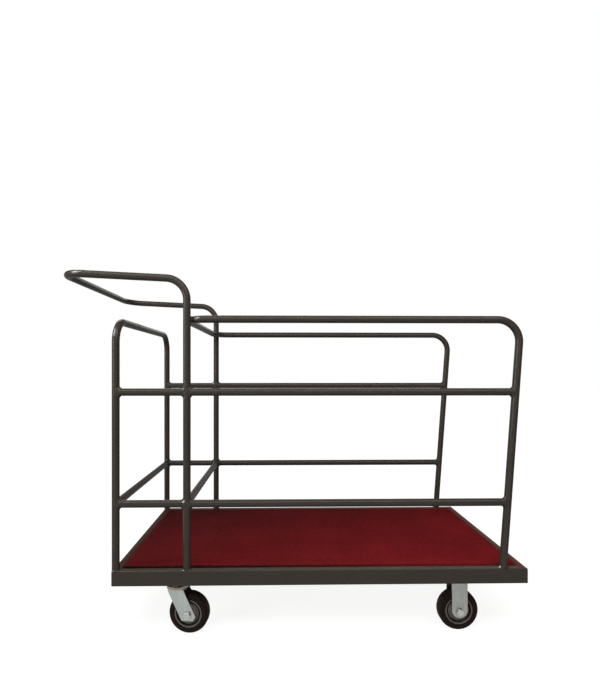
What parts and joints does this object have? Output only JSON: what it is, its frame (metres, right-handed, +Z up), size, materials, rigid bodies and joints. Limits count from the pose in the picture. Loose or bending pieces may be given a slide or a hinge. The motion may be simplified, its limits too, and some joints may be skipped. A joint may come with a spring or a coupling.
{
  "type": "platform trolley",
  "caption": "Flat platform trolley with a carpeted deck, a welded round-tube cage open at the front, a bent push handle, and swivel and rigid casters.",
  "frame": {"origin": "on the floor under the middle of the whole trolley, handle included", "axes": "+X from the push handle to the open front end, +Y to the left side seen from the handle, +Z up"},
  "size_m": [1.248, 0.56, 0.974],
  "materials": {
    "frame_paint": "satin bronze-grey enamel",
    "carpet": "short dark red needle-punched pile",
    "plywood": "bare birch-faced plywood",
    "fork_zinc": "zinc plate, with a yellowed race rim on the swivel forks",
    "race_zinc": "zinc plate, slightly warm",
    "bolt_zinc": "zinc plate",
    "sleeve_steel": "ground steel",
    "tyre_rubber": "matt black rubber",
    "hub_plastic": "moulded grey polypropylene"
  },
  "bodies": {
    "chassis": {"base_rail_front_end": "frame_paint", "base_rail_handle_end": "frame_paint", "base_rail_left": "frame_paint", "base_rail_right": "frame_paint", "caster_bolts": "bolt_zinc", "caster_nuts": "bolt_zinc", "deck_bearer_1": "frame_paint", "deck_bearer_2": "frame_paint", "deck_bearer_3": "frame_paint", "deck_bearer_4": "frame_paint", "deck_bearer_5": "frame_paint", "deck_board": "plywood", "deck_carpet": "carpet", "deck_screws": "bolt_zinc", "end_hoop": "frame_paint", "king_bolts": "bolt_zinc", "king_nuts": "bolt_zinc", "low_bar_handle": "frame_paint", "low_bar_hoop": "frame_paint", "low_rail_left_long": "frame_paint", "low_rail_left_short": "frame_paint", "low_rail_right_long": "frame_paint", "low_rail_right_short": "frame_paint", "mid_rail_left_long": "frame_paint", "mid_rail_left_short": "frame_paint", "mid_rail_right_long": "frame_paint", "mid_rail_right_short": "frame_paint", "push_handle": "frame_paint", "rigid_axle_bolts": "bolt_zinc", "rigid_axle_nuts": "bolt_zinc", "rigid_axle_sleeves": "sleeve_steel", "rigid_bracket_left": "fork_zinc", "rigid_bracket_right": "fork_zinc", "swivel_plate_left": "fork_zinc", "swivel_plate_right": "fork_zinc", "swivel_race_left": "race_zinc", "swivel_race_right": "race_zinc", "thrust_bearings": "sleeve_steel", "top_rail_hoop": "frame_paint"},
    "swivel_right": {"swivel_fork_right": "fork_zinc", "swivel_axle_bolt_right": "bolt_zinc", "swivel_axle_nut_right": "bolt_zinc", "swivel_axle_sleeve_right": "sleeve_steel"},
    "swivel_wheel_right": {"swivel_tyre_right": "tyre_rubber", "swivel_hub_right": "hub_plastic", "swivel_wheel_bearings_right": "sleeve_steel"},
    "rigid_wheel_right": {"rigid_tyre_right": "tyre_rubber", "rigid_hub_right": "hub_plastic", "rigid_wheel_bearings_right": "sleeve_steel"},
    "swivel_left": {"swivel_fork_left": "fork_zinc", "swivel_axle_bolt_left": "bolt_zinc", "swivel_axle_nut_left": "bolt_zinc", "swivel_axle_sleeve_left": "sleeve_steel"},
    "swivel_wheel_left": {"swivel_tyre_left": "tyre_rubber", "swivel_hub_left": "hub_plastic", "swivel_wheel_bearings_left": "sleeve_steel"},
    "rigid_wheel_left": {"rigid_tyre_left": "tyre_rubber", "rigid_hub_left": "hub_plastic", "rigid_wheel_bearings_left": "sleeve_steel"}
  },
  "joints": [
    {"name": "swivel_turn_right", "type": "hinge", "parent": "chassis", "child": "swivel_right", "pos_m": [-0.313, -0.23449, 0.1235], "axis": [0, 0, 1], "continuous": true},
    {"name": "swivel_wheel_spin_right", "type": "hinge", "parent": "swivel_right", "child": "swivel_wheel_right", "pos_m": [-0.27925, -0.23864, 0.054], "axis": [0.1219, 0.9925, 0], "continuous": true},
    {"name": "rigid_wheel_spin_right", "type": "hinge", "parent": "chassis", "child": "rigid_wheel_right", "pos_m": [0.451, -0.23449, 0.054], "axis": [0, 1, 0], "continuous": true},
    {"name": "swivel_turn_left", "type": "hinge", "parent": "chassis", "child": "swivel_left", "pos_m": [-0.313, 0.23449, 0.1235], "axis": [0, 0, 1], "continuous": true},
    {"name": "swivel_wheel_spin_left", "type": "hinge", "parent": "swivel_left", "child": "swivel_wheel_left", "pos_m": [-0.27925, 0.23864, 0.054], "axis": [-0.1219, 0.9925, 0], "continuous": true},
    {"name": "rigid_wheel_spin_left", "type": "hinge", "parent": "chassis", "child": "rigid_wheel_left", "pos_m": [0.451, 0.23449, 0.054], "axis": [0, 1, 0], "continuous": true}
  ]
}
